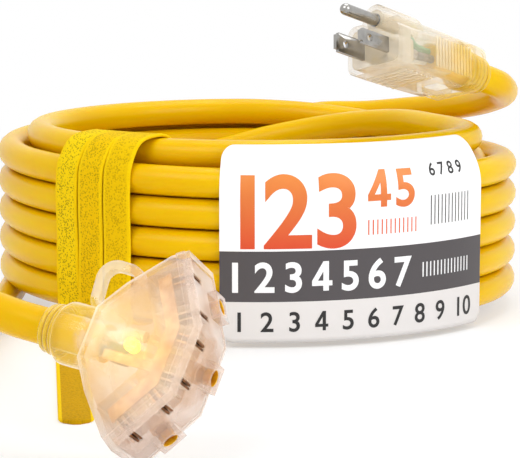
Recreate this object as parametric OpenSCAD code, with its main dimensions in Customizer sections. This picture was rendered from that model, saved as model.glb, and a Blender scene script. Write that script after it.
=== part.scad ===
// Heavy extension cord, coiled and tied, with a moulded grounded plug on one end
// and a fan-shaped three-outlet tap on the other. Millimetres, +Z up.
// It stands on Z = 0; the coil's axis is vertical, at coil_at.

/* [Cord] */
// Outer diameter of the cord's jacket
cord_d = 12.2; // [10.5:0.1:12.6]
// Clear gap between neighbouring turns of one layer
turn_gap = 0.45; // [0.42:0.01:0.8]
// Clear gap between neighbouring layers
layer_gap = 0.6; // [0.5:0.05:1]
// Radius of the outer layer, at the middle of the cord
coil_r = 108.5; // [104:0.5:112]
// Turns of the outer layer that are stacked before the cord crosses inwards
outer_turns = 4.8; // [4.8:1:5.8]
// Height from one inner turn to the next
inner_pitch = 14.2; // [13.2:0.1:14.5]
// Diameter of one insulated conductor
wire_d = 3.6; // [2.6:0.1:3.8]

/* [Tie strap] */
// Width of the hook-and-loop strap
strap_w = 12.6; // [9:0.1:13.5]
// Thickness of the strap
strap_t = 1.3; // [0.8:0.1:1.5]
// Times the strap goes round the bundle
strap_wraps = 3; // [2:1:3]
// Direction of the first wrap, seen from above
strap_angle = 228; // [224:1:232]
// Length of the free end that lies on the floor
strap_tail = 160; // [100:2:180]

/* [Label] */
// Length of the printed wrap, along the coil
label_len = 122; // [80:1:126]
// Height of the printed wrap
label_h = 78; // [60:1:80]
// Thickness of the printed wrap
label_t = 0.6; // [0.4:0.1:1]
// Direction of the label's middle, seen from above
label_angle = 293; // [290:1:298]
// Radius of the label's corners
label_corner = 5; // [3:0.5:12]

/* [Plug] */
// Length from the cord's entry to the face with the blades
plug_len = 68; // [64:1:76]
// Length of the ribbed strain relief
plug_relief = 14; // [12:1:18]
// Width of the grip
plug_w = 29; // [28:0.5:32]
// Height of the grip below the ground ridge
plug_h = 21; // [20.5:0.5:24]
// Height that the grip loses towards the cord
plug_taper = 4.5; // [0:0.5:5]
// Radius of the barrel round the ground pin
ridge_r = 6.6; // [6:0.1:7.5]
// Length of the barrel round the ground pin
ridge_len = 21; // [18:1:28]
// Wall of the strain reliefs at the cord
relief_wall = 1.2; // [1:0.1:1.6]
// Number of grip ribs on each side
rib_n = 12; // [6:1:18]
// Wall of the clear housing
plug_wall = 2.2; // [1.6:0.1:2.4]
// Thickness of the insert that holds the blades
bridge_t = 8; // [6:0.5:10]
// Gap from one blade to the other, centre to centre
blade_gap = 12.7; // [12.7:0.1:12.7]
// Distance from the blades' line to the ground pin
ground_off = 11.9; // [11.9:0.1:11.9]
// Length of the blades outside the face
blade_len = 17.5; // [15.9:0.1:18.3]
// Thickness of a blade
blade_t = 1.5; // [1.4:0.05:1.6]
// Width of the narrow, hot blade
hot_w = 6.35; // [6.2:0.05:6.5]
// Width of the wide, neutral blade
neutral_w = 7.95; // [7.7:0.05:8.1]
// Diameter of the ground pin
ground_d = 4.8; // [4.7:0.05:4.95]
// Length of the ground pin outside the face
ground_len = 20.6; // [19:0.1:21.5]

/* [Tap] */
// Length from the cord's entry to the middle outlet's face
tap_len = 56; // [53:0.5:58]
// Length of one outlet's face, along the fan
face_len = 23.2; // [22.8:0.1:25]
// Turn from one outlet's face to the next
face_turn = 32; // [30:1:38]
// Thickness of the tap
tap_t = 24.8; // [24.6:0.1:27]
// Wall of the clear housing
tap_wall = 2.2; // [1.8:0.1:2.4]
// Thickness of the wall with the slots
outlet_t = 2.4; // [2:0.1:3]
// Length of the tap's ribbed strain relief
tap_relief = 6; // [5:0.5:9]
// Radius of the round collar behind the fan
collar_r = 10.3; // [9.5:0.1:11]
// Stand of the ground bosses out of the faces
boss_out = 2.4; // [1.4:0.2:3]
// Thickness of the contact strips
bus_t = 0.8; // [0.6:0.1:1]
// Thickness of the eyelet for hanging
eyelet_t = 4; // [3:0.5:6]
// Width of the eyelet's rim
eyelet_rim = 3; // [2.5:0.1:3.5]

/* [Hidden] */

yellow = [0.98, 0.75, 0.04];
clear = [0.95, 0.93, 0.86, 0.45];
coil_at = [-8.46, 176.26, 0];  // the coil's axis, so that the ends and wraps are centred on the origin
fit = 0.05;           // clearance of a piece pressed into another
soft = 0.3;           // clearance of a soft piece
eps = 0.01;

// ---- the coil's winding ------------------------------------------------------------
// Turns are counted anticlockwise from the back of the coil, from the plug's end.
pitch = cord_d + turn_gap;
layer = cord_d + layer_gap;
inner_r = coil_r - layer;
core_r = inner_r - layer - strap_t - 1.2;   // room for the strap between the two
flat_cut = cord_d / 10;
floor_z = cord_d / 2 - flat_cut;
lead_z = cord_d / 2 + 0.1;
rows = floor(outer_turns);
top_z = floor_z + (rows + 1.25) * pitch;
cross_t = 0.12;                              // turns that a step across a layer takes
inner_z = floor_z + pitch + 0.7;             // first inner turn, over the crossing cord
climb_t = 1 / 6;                             // half of the stretch where an inner turn climbs
in_t = outer_turns + cross_t;
low_z = top_z - in_t * pitch;                // where the outer layer's end has crossed
climb_first = ceil(in_t) + 0.86;             // middle of the first climb
climbs = rows;
inner_end = ceil(in_t) + 1 + climbs - 0.31;
inner_top = inner_z + climbs * inner_pitch;
core_t = inner_end + cross_t;
core_down = core_t + 0.69;
core_end = ceil(core_down) + 0.03;
out_end = core_end + 0.15;
coil_turns = ceil(out_end) - 0.75;
ring_step = 1 / 24;
coil_sides = 6;

function ease(x) = let (c = min(max(x, 0), 1)) c * c * (3 - 2 * c);
function ramp(t, t0, t1, a, b) = a + (b - a) * ease((t - t0) / (t1 - t0));

function coil_radius(t) =
    t < in_t ? ramp(t, outer_turns, in_t, coil_r, inner_r)
    : t < core_t ? ramp(t, inner_end, core_t, inner_r, core_r)
    : ramp(t, core_end, out_end, core_r, coil_r);

function climbed(t) = let (n = floor(t - climb_first + 0.5), k = min(max(n, 0), climbs - 1))
    t < climb_first - 0.5 ? 0
    : k + ease((t - (climb_first + k) + climb_t) / (2 * climb_t));

function coil_height(t) =
    t < in_t ? top_z - pitch * t
    : t < inner_end ? ramp(t, in_t, in_t + 0.09, low_z, inner_z) + inner_pitch * climbed(t)
    : t < out_end ? ramp(t, core_t, core_down, inner_top, floor_z)
    : ramp(t, out_end, coil_turns, floor_z, lead_z);

function coil_point(t) =
    let (a = 90 + 360 * t, r = coil_radius(t)) [r * cos(a), r * sin(a), coil_height(t)];

coil_steps = round(coil_turns / ring_step);
coil_path = [for (i = [0:coil_steps]) coil_point(coil_turns * i / coil_steps)];
coil_top = coil_path[0] + [cord_d, 0, 0];
coil_bottom = coil_path[coil_steps] + [0, -cord_d, 0];
coil_line = concat([coil_top], coil_path, [coil_bottom]);

// ---- vectors, tubes ----------------------------------------------------------------
function unit(v) = v / norm(v);
function total(v, i = 0) = i >= len(v) ? 0 : v[i] + total(v, i + 1);
function tangent(p, i) =
    i == 0 ? unit(p[1] - p[0])
    : i == len(p) - 1 ? unit(p[i] - p[i - 1])
    : unit(unit(p[i] - p[i - 1]) + unit(p[i + 1] - p[i]));

// One ring of points round p[i], square to the path, with a corner on top
function ring(p, i, r, n) =
    let (t = tangent(p, i), side = unit(cross(t, [0, 0, 1])), up = cross(side, t))
    [for (k = [0:n - 1]) p[i] + r * (sin(360 * k / n) * side + cos(360 * k / n) * up)];

// Closed skin over rings of n points each: triangles along the sides, strips at the ends
function skin_faces(m, n) = concat(
    [for (i = [0:m - 2], k = [0:n - 1])
        let (a = i * n + k, b = i * n + (k + 1) % n) [b, a, a + n]],
    [for (i = [0:m - 2], k = [0:n - 1])
        let (b = i * n + (k + 1) % n, c = (i + 1) * n + k) [b + n, b, c]],
    cap_faces(0, n, false), cap_faces((m - 1) * n, n, true));
function cap_faces(s, n, last) = [for (k = [0:n / 2 - 2], h = [0, 1])
    let (f = h == 0 ? [s + k, s + k + 1, s + n - 1 - k] : [s + k + 1, s + n - 2 - k, s + n - 1 - k])
    last ? [f[2], f[1], f[0]] : f];

module skin(rings) {
    n = len(rings[0]);
    polyhedron([for (q = rings, v = q) v], skin_faces(len(rings), n), convexity = 12);
}

module tube(p, d, n = 8) skin([for (i = [0:len(p) - 1]) ring(p, i, d / 2, n)]);

// Least gap of the coil to itself: every point against the stretches half a turn away
function to_line(q, a, b) =
    let (u = b - a, s = min(max((q - a) * u / (u * u), 0), 1)) norm(q - a - s * u);
half_turn = 12;
coil_gap = min([for (i = [0:coil_steps - half_turn], j = [i + half_turn:coil_steps - 1])
    if (norm(coil_path[i] - coil_path[j]) < 2 * cord_d)
        to_line(coil_path[i], coil_path[j], coil_path[j + 1])]) - cord_d;
coil_length = total([for (i = [1:len(coil_line) - 1]) norm(coil_line[i] - coil_line[i - 1])]);

// ---- where the ends lie, from the coil's axis --------------------------------------
plug_at = [94, -34, 102];
plug_turn = [15, -16, -135];
tap_at = [-66, -282.2, 40.9];
tap_turn = [60.7, 8.9, -27.5];
function forward(turn) =
    [cos(turn[1]) * cos(turn[2]), cos(turn[1]) * sin(turn[2]), -sin(turn[1])];

plug_route = [[30, 105, 72.5], [53, 95, 74], [73, 81, 77], [89, 63, 80], [101, 41, 84],
              [107, 21, 88], [109.5, 3, 92], [107.5, -11, 95]];
tap_route = [[-109, -36, 6.2], [-109, -64, 6.2], [-109, -92, 6.8], [-109, -120, 10],
             [-109, -148, 17], [-109, -176, 27], [-108.5, -204, 37], [-106, -230, 43],
             [-99, -252, 45.5], [-88.7, -267.3, 45.4]];
plug_line = concat([coil_top, coil_top + [cord_d, 0, 0]], plug_route,
                   [plug_at - cord_d * forward(plug_turn), plug_at]);
tap_line = concat([coil_bottom, coil_bottom - [0, cord_d, 0]], tap_route,
                  [tap_at - cord_d * forward(tap_turn), tap_at]);
plug_lead_length = total([for (i = [1:len(plug_line) - 1]) norm(plug_line[i] - plug_line[i - 1])]);
tap_lead_length = total([for (i = [1:len(tap_line) - 1]) norm(tap_line[i] - tap_line[i - 1])]);
echo(coil_gap = coil_gap, coil = coil_length, plug_lead = plug_lead_length,
     tap_lead = tap_lead_length, cord = coil_length + plug_lead_length + tap_lead_length);

module on_floor() translate(coil_at) children();
module at_plug() on_floor() translate(plug_at) rotate(plug_turn) children();
module at_tap() on_floor() translate(tap_at) rotate(tap_turn) children();

// ---- cord --------------------------------------------------------------------------
module cord_coil() color(yellow) on_floor() difference() {
    tube(coil_line, cord_d, coil_sides);
    translate([0, 0, -cord_d / 2]) cube([3 * coil_r, 3 * coil_r, cord_d], center = true);
}

module plug_lead() color(yellow) on_floor() tube(plug_line, cord_d);
module tap_lead() color(yellow) on_floor() tube(tap_line, cord_d);

// ---- tie strap ---------------------------------------------------------------------
// Section of the bundle at the strap: [radius, height] round it, from the outer foot up,
// over the outer layer's shoulder and the inner layer, down inside and back below.
strap_out = coil_r + cord_d / 2 + soft;
strap_in = inner_r - cord_d / 2 - soft;
strap_row = top_z - pitch * (strap_angle + 14 - 90) / 360;
strap_low = strap_row - (rows) * pitch - cord_d / 2 - soft;
strap_top = inner_top + cord_d / 2 + soft;
shoulder = strap_row + pitch * 0.2;
strap_section = [
    [strap_out - 2, strap_low], [strap_out - 0.3, strap_low + 1.2], [strap_out, strap_low + 3.5],
    [strap_out, (strap_low + shoulder) / 2], [strap_out, shoulder - 4],
    [strap_out - 0.5, shoulder + 0.5], [strap_out - 2.2, shoulder + 4.2],
    [strap_out - 7, strap_top - 2.2], [inner_r + 3, strap_top], [inner_r - 1.5, strap_top],
    [strap_in + 1, strap_top - 2.8], [strap_in, strap_top - 6.5],
    [strap_in, (strap_low + strap_top) / 2], [strap_in, strap_low + 3.5],
    [strap_in + 0.3, strap_low + 1.2], [strap_in + 2, strap_low]];
section_n = len(strap_section);
strap_step = strap_w + 0.4;
// Share of one wrap's sideways step, made over the top and down the inside
function strap_share(k) = ease((k - 6) / 8);
function strap_dir(a) = [cos(a), sin(a), 0];
function section_normal(k) =
    let (a = strap_section[(k + section_n - 1) % section_n],
         b = strap_section[(k + 1) % section_n], u = unit(b - a)) [u[1], -u[0]];

// The flat ribbon's four corners: middle, width direction, outward normal
function ribbon_ring(c, side, out) = [
    c + strap_w / 2 * side, c - strap_w / 2 * side,
    c - strap_w / 2 * side + strap_t * out, c + strap_w / 2 * side + strap_t * out];

strap_turn = strap_step / strap_out * 180 / PI;
strap_wound = [for (w = [0:strap_wraps - 1], k = [0:section_n - 1])
    if (w > 0 || k > 2) let (
        a = strap_angle + strap_turn * (w + strap_share(k)),
        q = strap_section[k], m = section_normal(k), rad = strap_dir(a))
        ribbon_ring(rad * q[0] + [0, 0, q[1]], [-sin(a), cos(a), 0],
                    rad * m[0] + [0, 0, m[1]])];
// The free end: from the outer foot of the first wrap down to the floor and forwards
strap_foot = strap_dir(strap_angle) * strap_out;
tail_dir = unit([0.1, -1, 0]);
tail_side = [-tail_dir[1], tail_dir[0], 0];
wrap_side = [-sin(strap_angle), cos(strap_angle), 0];
strap_free = [for (s = [strap_tail, strap_tail * 0.75, strap_tail * 0.5, strap_tail * 0.25, 16, 9])
    ribbon_ring(strap_foot + tail_dir * s + [0, 0, 0.05 + (s < 10 ? 1.2 : 0)],
                s > 20 ? tail_side : unit(tail_side + (s > 12 ? 0.4 : 1) * wrap_side),
                s < 10 ? unit([0, 0, 1] - 0.5 * tail_dir) : [0, 0, 1])];

module tie_strap() color([0.85, 0.72, 0.02]) on_floor() skin(concat(strap_free, strap_wound));

// ---- label -------------------------------------------------------------------------
label_low = 2.3;
label_r = coil_r + cord_d / 2 + soft;
label_cols = 22;
label_rows = 7;
// Width lost to the rounded corners, a distance e from the label's end
function corner_cut(e) = e >= label_corner ? 0
    : label_corner - sqrt(label_corner * label_corner - pow(label_corner - e, 2));
// The top leans in over the outer layer's shoulder
function lean(z) = let (over = max(0, z - (strap_row - 6))) over * over / 42;
function label_point(i, j, out) =
    let (e = label_len * (1 - cos(180 * i / label_cols)) / 2,
         cut = corner_cut(min(e, label_len - e)),
         z = label_low + cut + (label_h - 2 * cut) * j / label_rows,
         a = label_angle + (e - label_len / 2) / label_r * 180 / PI,
         r = label_r + out - lean(z)) [r * cos(a), r * sin(a), z];

module label() color([0.95, 0.95, 0.95]) on_floor() skin([for (i = [0:label_cols])
    concat([for (j = [0:label_rows]) label_point(i, j, 0)],
           [for (j = [label_rows:-1:0]) label_point(i, j, label_t)])]);

// ---- plug --------------------------------------------------------------------------
// Local axes: X from the cord to the blades, Y across, Z towards the ground pin.
blade_z = -4;
ground_z = blade_z + ground_off;
bridge_x = plug_len - bridge_t;
grip_top = plug_h - 13.5;
grip_mid = grip_top - plug_h / 2;
relief_r = cord_d / 2 + relief_wall;       // both reliefs, at the cord's end
band_l = 6;                               // rounded band at the grip's back end
band_r = 6;                               // its corners, seen from the cord
band_out = 0.8;                           // how far it stands out of the grip
cord_in = plug_relief + 20;               // how far the jacket reaches into the plug
ridge_x = plug_len - ridge_len;           // where the barrel's round back end is centred
crimp_x = bridge_x - 9;
rib_from = plug_relief + band_l + 3;
rib_step = (ridge_x - rib_from) / rib_n;
function trio(i, r = 2.3) = [r * cos(90 + 120 * i), r * sin(90 + 120 * i)];

module rounded(w, h, r) {
    square([w - 2 * r, h], center = true);
    square([w, h - 2 * r], center = true);
    for (x = [-1, 1], y = [-1, 1])
        translate([x * (w / 2 - r), y * (h / 2 - r)]) circle(r, $fn = 32);
}

module along_x(x, l) translate([x, 0, 0]) rotate([90, 0, 90]) linear_extrude(l) children();

// The barrel round the ground pin with its foot on the grip, seen from the face
module barrel_outline(shrink = 0) {
    translate([0, ground_z]) circle(ridge_r - shrink, $fn = 40);
    translate([0, (ground_z + grip_mid) / 2])
        square([2 * (ridge_r - 1 - shrink), ground_z - grip_mid], center = true);
}

// The grip: rounded across, lower towards the cord; shrunk by a wall inside
module grip(x0, x1, shrink = 0) intersection() {
    along_x(x0, x1 - x0) translate([0, grip_mid])
        rounded(plug_w - 2 * shrink, plug_h - 2 * shrink, 4 - shrink / 2);
    rotate([90, 0, 0]) linear_extrude(plug_w + 2, center = true) polygon([
        [plug_relief, grip_top - plug_taper / 3 - shrink], [plug_len + 1, grip_top - shrink],
        [plug_len + 1, grip_top - plug_h + shrink],
        [plug_relief, grip_top - plug_h + plug_taper * 2 / 3 + shrink]]);
}

// Turned relief: rings with grooves between them
module ribbed_relief(l, r0, r1, rings, groove = 0.55) rotate([0, 90, 0]) rotate_extrude($fn = 40)
    polygon(concat([[0, 0]],
        [for (i = [0:rings - 1], c = [[0, 0], [0.6, 0], [0.7, -groove], [0.9, -groove]])
            [r0 + (r1 - r0) * i / rings + c[1], l * (i + c[0]) / rings]],
        [[r1, l], [0, l]]));

module plug_housing() color(clear) at_plug() difference() {
    union() {
        ribbed_relief(plug_relief, relief_r, relief_r + 1.3, 5);
        for (step = [0, 1], h = plug_h - plug_taper + 1.5 + step * 2 * band_out)
            along_x(plug_relief - 1 + step, band_l + 1 - 2 * step)
                translate([0, grip_mid + plug_taper / 6])
                    rounded(plug_w + (2 * step - 1) * 2 * band_out, h, band_r);
        grip(plug_relief + band_l - eps, plug_len);
        along_x(ridge_x, plug_len - ridge_x) barrel_outline();
        translate([ridge_x, 0, ground_z]) sphere(ridge_r, $fn = 32);
        for (i = [0:rib_n - 1], y = [-1, 1])
            translate([rib_from + rib_step * (i + 0.25), y * plug_w / 2 - 0.4, grip_mid - 5])
                cube([rib_step / 2, 0.8, 10]);
        translate([rib_from, -4, grip_top - plug_h]) cube([10, 8, 4]);
    }
    rotate([0, 90, 0]) translate([0, 0, -eps]) cylinder(cord_in + 1, d = cord_d + 2 * fit, $fn = 64);
    grip(cord_in, plug_len + 1, plug_wall);
    along_x(ridge_x, plug_len - ridge_x + 1) barrel_outline(plug_wall);
    translate([ridge_x, 0, ground_z]) sphere(ridge_r - plug_wall, $fn = 32);
}

module blade_slots(gap, w_hot, w_neutral, t) {
    translate([gap / 2, 0]) square([t, w_hot], center = true);
    translate([-gap / 2, 0]) square([t, w_neutral], center = true);
}

module plug_insert() color([0.93, 0.93, 0.88, 0.6]) at_plug() difference() {
    union() {
        grip(bridge_x, plug_len, plug_wall + fit);
        along_x(bridge_x, bridge_t) barrel_outline(plug_wall + fit);
        along_x(bridge_x - 5, 5 + eps) translate([0, blade_z]) rounded(19, 11, 2);
    }
    along_x(bridge_x - 6, bridge_t + 7) translate([0, blade_z])
        blade_slots(blade_gap, hot_w + 2 * fit, neutral_w + 2 * fit, blade_t + 2 * fit);
    translate([bridge_x - 1, 0, ground_z]) rotate([0, 90, 0])
        cylinder(bridge_t + 2, d = shank_d + 2 * fit, $fn = 40);
}

shank_d = ground_d + 0.8;
tip = 1.5;               // length of a blade's narrower tip
crimp_l = 4;
module crimp() translate([crimp_x, 0, 0]) rotate([0, 90, 0])
    cylinder(crimp_l + eps, d = wire_d + 0.8, $fn = 32);

// A folded blade with a hole near its tip and a crimp for its conductor
module blade(w, y) at_plug() translate([0, y, blade_z]) {
    difference() {
        union() {
            translate([crimp_x + crimp_l, -blade_t / 2, -w / 2])
                cube([plug_len + blade_len - tip - crimp_x - crimp_l, blade_t, w]);
            translate([plug_len + blade_len - tip - eps, -blade_t / 2, -w / 2 + 1])
                cube([tip + eps, blade_t, w - 2]);
            crimp();
        }
        translate([plug_len + 11.7, 0, 0]) rotate([90, 0, 0])
            cylinder(2 * blade_t, d = 3.1, center = true, $fn = 32);
    }
}
module hot_blade() color([0.72, 0.73, 0.74]) blade(hot_w, blade_gap / 2);
module neutral_blade() color([0.72, 0.73, 0.74]) blade(neutral_w, -blade_gap / 2);

// The pin's shank inside the plug is thicker, so that it can't be pulled out
module ground_pin() color([0.72, 0.73, 0.74]) at_plug() translate([0, 0, ground_z]) {
    crimp();
    rotate([0, 90, 0]) {
        translate([0, 0, crimp_x + crimp_l])
            cylinder(plug_len - crimp_x - crimp_l, d = shank_d, $fn = 40);
        translate([0, 0, plug_len - eps])
            cylinder(ground_len - ground_d / 2 + eps, d = ground_d, $fn = 40);
        translate([0, 0, plug_len + ground_len - ground_d / 2]) sphere(d = ground_d, $fn = 24);
    }
}

module cord_end() rotate([0, 90, 0]) cylinder(cord_in, d = cord_d, $fn = 64);
module plug_cord_end() color(yellow) at_plug() cord_end();

// A conductor from the jacket's face to its crimp
module conductor(x0, start, bend0, bend1, x1, end)
    tube([for (k = [0:6]) let (s = ease((k - 1) / 4),
               x = [x0, bend0, bend0 + (bend1 - bend0) / 4, (bend0 + bend1) / 2,
                    bend1 - (bend1 - bend0) / 4, bend1, x1][k])
          [x, start[0] + (end[0] - start[0]) * s, start[1] + (end[1] - start[1]) * s]], wire_d);
module plug_hot_wire() color([0.1, 0.1, 0.1]) at_plug()
    conductor(cord_in, trio(2), cord_in + 2, crimp_x - 2, crimp_x, [blade_gap / 2, blade_z]);
module plug_neutral_wire() color([0.9, 0.9, 0.9]) at_plug()
    conductor(cord_in, trio(1), cord_in + 2, crimp_x - 2, crimp_x, [-blade_gap / 2, blade_z]);
module plug_ground_wire() color([0.1, 0.55, 0.3]) at_plug()
    conductor(cord_in, trio(0), ridge_x - 5, crimp_x - 1, crimp_x, [0, ground_z]);

// ---- tap ---------------------------------------------------------------------------
// Local axes: X from the cord to the middle outlet, Y along the fan, Z across it.
// The ground holes lie at -Z, the slots at +Z.
inside = tap_t / 2 - tap_wall;
slot_z = inside - 4.6;
earth_z = slot_z - ground_off;
hot_z = inside - 0.3 - bus_t;    // underside of the hot strip
neutral_z = slot_z - 5.6;        // underside of the neutral strip
earth_strip_z = earth_z + 2.6;   // underside of the ground strip
neck_x = 19;
tap_cord_in = neck_x + 3;
end_wall = tap_wall + 0.4;
// Middle of outlet i's face; i is -1, 0 or 1
function face_mid(i) = i == 0 ? [tap_len, 0]
    : [tap_len - face_len / 2 * sin(face_turn),
       i * face_len / 2 * (1 + cos(face_turn))];
// The lower half of the fan's outline, from the neck to the middle face; s is -1 or 1
function fan_half(s) =
    let (m = [tap_len, s * face_len / 2], u = [-sin(face_turn), s * cos(face_turn)],
         n = [cos(face_turn), s * sin(face_turn)], e = m + (face_len + end_wall) * u)
    let (b = e - 6 * n)
    [[neck_x, s * 8.5], [neck_x + (b[0] - neck_x) * 0.38, s * (8.5 + (abs(b[1]) - 8.5) * 0.45)],
     b, e, m];
fan_outline = concat(fan_half(-1), [for (k = [4:-1:0]) fan_half(1)[k]]);

// Outline with each side moved inwards by its own distance; anticlockwise points
function across(a, b) = a[0] * b[1] - a[1] * b[0];
function meet(p, u, q, v) = p + u * across(q - p, v) / across(u, v);
function inset(pts, d) = let (n = len(pts)) [for (i = [0:n - 1])
    let (h = (i + n - 1) % n, b = pts[i], u = unit(b - pts[h]), v = unit(pts[(i + 1) % n] - b))
    meet(b + d[h] * [-u[1], u[0]], u, b + d[i] * [-v[1], v[0]], v)];

function fan_points(f = 0, g = 0) = inset(fan_outline, [g, g, g, f, f, f, g, g, g, g]);
module fan(face_in = 0, side_in = 0) polygon(fan_points(face_in, side_in));
function lift(p, z) = [for (q = p) [q[0], q[1], z]];

// All that lies deeper than d behind the three faces
module behind(d) {
    y = face_len / 2 - d * tan(face_turn / 2);
    far = [-90 * sin(face_turn), 90 * cos(face_turn)];
    polygon([[tap_len - d, -y], [tap_len - d, y], [tap_len - d + far[0], y + far[1]],
             [-60, y + far[1]], [-60, -y - far[1]], [tap_len - d + far[0], -y - far[1]]]);
}

module flat(t) translate([0, 0, -t / 2]) linear_extrude(t) children();
module at_face(i) translate([face_mid(i)[0], face_mid(i)[1], 0]) rotate([0, 0, i * face_turn])
    children();

eyelet_small = [16, 13.8];
eyelet_big = [16.6, 20.2];
eyelet_end = [20.7, 20.7];
// The eyelet's window, grown by a rim
module eyelet_window(rim = 0) hull() {
    translate(eyelet_small) circle(2.2 + rim, $fn = 32);
    translate(eyelet_big) circle(3.6 + rim, $fn = 32);
    translate(eyelet_end) circle(3 + rim, $fn = 32);
}

// Turned ring from x0 to x1 with corners of radius r
module collar(x0, x1, r) rotate([0, 90, 0]) rotate_extrude($fn = 48)
    polygon(concat([[0, x0]],
        [for (a = [-90:22.5:0]) [collar_r - r + r * cos(a), x0 + r + r * sin(a)]],
        [for (a = [0:22.5:90]) [collar_r - r + r * cos(a), x1 - r + r * sin(a)]], [[0, x1]]));

bevel = 2;
frame_w = 3;             // frame round the faces, standing proud of the fan's flat sides
module tap_housing() color(clear) at_tap() difference() {
    union() {
        ribbed_relief(tap_relief, relief_r, relief_r + 0.9, 3);
        collar(tap_relief - 0.5, neck_x + 0.5, 2.6);
        skin([lift(fan_points(bevel, bevel), -tap_t / 2), lift(fan_points(), -tap_t / 2 + bevel),
              lift(fan_points(), tap_t / 2 - bevel), lift(fan_points(bevel, bevel), tap_t / 2)]);
        flat(tap_t + 1) intersection() {
            fan(0.8, 0.8);
            difference() {
                behind(0);
                behind(frame_w + 0.8);
            }
        }
        flat(eyelet_t) hull() {
            eyelet_window(eyelet_rim);
            translate([27, 19]) circle(1.5, $fn = 32);
            translate([17, 9]) circle(1, $fn = 32);
        }
    }
    flat(eyelet_t + 2) eyelet_window();
    rotate([0, 90, 0]) translate([0, 0, -eps])
        cylinder(tap_cord_in + 1, d = cord_d + 2 * fit, $fn = 64);
    flat(2 * inside) fan(-1, tap_wall);
}

module outlet_block() color([0.96, 0.93, 0.88, 0.6]) at_tap() difference() {
    union() {
        flat(2 * (inside - fit)) difference() {
            fan(0.6, tap_wall + fit);
            behind(outlet_t + 0.6);
        }
        for (i = [-1:1]) at_face(i) translate([-1, -4.5, earth_z - 4])
            cube([1 + boss_out, 9, 8]);
        // walls between the outlets
        for (i = [-1, 1]) translate([tap_len, i * face_len / 2, 0]) rotate([0, 0, i * face_turn / 2])
            translate([-9.2, -0.5, neutral_z + bus_t + 0.3])
                cube([9.2 - outlet_t, 1, hot_z - neutral_z - bus_t - 0.6]);
    }
    for (i = [-1:1]) at_face(i) {
        translate([-outlet_t - 2, -blade_gap / 2 - 1.1, slot_z - 4.3]) cube([outlet_t + 4, 2.2, 8.6]);
        translate([-outlet_t - 2, blade_gap / 2 - 1.1, slot_z - 3.6]) cube([outlet_t + 4, 2.2, 7.2]);
        translate([-outlet_t - 2, 0, earth_z]) rotate([0, 90, 0])
            cylinder(outlet_t + 4 + boss_out, d = 5.6, $fn = 48);
    }
}

// Strip that follows the three faces from a depth behind them, with a tongue to the neck
module strip(z, depth, w, tongue_y) translate([0, 0, z]) linear_extrude(bus_t) {
    difference() {
        intersection() {
            fan(0, tap_wall + 2.5);
            behind(depth);
        }
        behind(depth + w);
    }
    translate([neck_x + 8, tongue_y - 1.5]) square([tap_len - depth - w / 2 - neck_x - 8, 3]);
}

// A pair of leaves that grips a blade behind slot y of face i, from z0 to z1
module leaves(i, y, z0, z1) at_face(i) for (s = [-1, 1])
    translate([-outlet_t - 9, y + s * (blade_t / 2 + 0.35) - 0.3, z0]) cube([8.2, 0.6, z1 - z0]);

module hot_bus() color([0.85, 0.62, 0.25]) at_tap() {
    strip(hot_z, outlet_t + 5, 4.5, -5);
    for (i = [-1:1]) leaves(i, blade_gap / 2, slot_z - 4, hot_z + eps);
}

module neutral_bus() color([0.8, 0.78, 0.72]) at_tap() {
    strip(neutral_z, outlet_t + 5, 4.5, 5);
    for (i = [-1:1]) leaves(i, -blade_gap / 2, neutral_z + bus_t - eps, slot_z + 4);
}

module ground_bus() color([0.85, 0.62, 0.25]) at_tap() difference() {
    union() {
        strip(earth_strip_z, outlet_t + 2, 5, 0);
        for (i = [-1:1]) at_face(i) translate([-outlet_t - 7, 0, earth_z]) rotate([0, 90, 0])
            cylinder(6.2, d = 6.8, $fn = 40);
    }
    for (i = [-1:1]) at_face(i) translate([-outlet_t - 8, 0, earth_z]) rotate([0, 90, 0])
        cylinder(8, d = 5, $fn = 40);
}

module tap_cord_end() color(yellow) at_tap()
    rotate([0, 90, 0]) cylinder(tap_cord_in, d = cord_d, $fn = 64);

wire_end = neck_x + 16;
module tap_wire(start, end) conductor(tap_cord_in, start, tap_cord_in + 2, wire_end - 4, wire_end, end);
module tap_hot_wire() color([0.1, 0.1, 0.1]) at_tap()
    tap_wire([-2.6, 1.6], [-5, hot_z - wire_d / 2 - 0.05]);
module tap_neutral_wire() color([0.9, 0.9, 0.9]) at_tap()
    tap_wire([2.6, 1.6], [5, neutral_z + bus_t + wire_d / 2 + 0.05]);
module tap_ground_wire() color([0.1, 0.55, 0.3]) at_tap()
    tap_wire([0, -3], [0, earth_strip_z - wire_d / 2 - 0.05]);

lamp_x = wire_end;
lamp_d = 4.4;
lamp_z = slot_z + 2;
module lamp() color([1, 0.95, 0.3]) at_tap() translate([lamp_x, 0, lamp_z]) {
    cylinder(inside - fit - lamp_z, d = lamp_d, $fn = 32);
    sphere(d = lamp_d, $fn = 32);
}
module lamp_resistor() color([0.75, 0.6, 0.45]) at_tap()
    translate([wire_end + 1.5, 5, neutral_z + bus_t + 1.25]) rotate([0, 90, 0])
        cylinder(5, d = 2.4, $fn = 24);

cord_coil();
plug_lead();
tap_lead();
tie_strap();
label();
plug_housing();
plug_insert();
hot_blade();
neutral_blade();
ground_pin();
plug_cord_end();
plug_hot_wire();
plug_neutral_wire();
plug_ground_wire();
tap_housing();
outlet_block();
hot_bus();
neutral_bus();
ground_bus();
tap_cord_end();
tap_hot_wire();
tap_neutral_wire();
tap_ground_wire();
lamp();
lamp_resistor();
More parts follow.
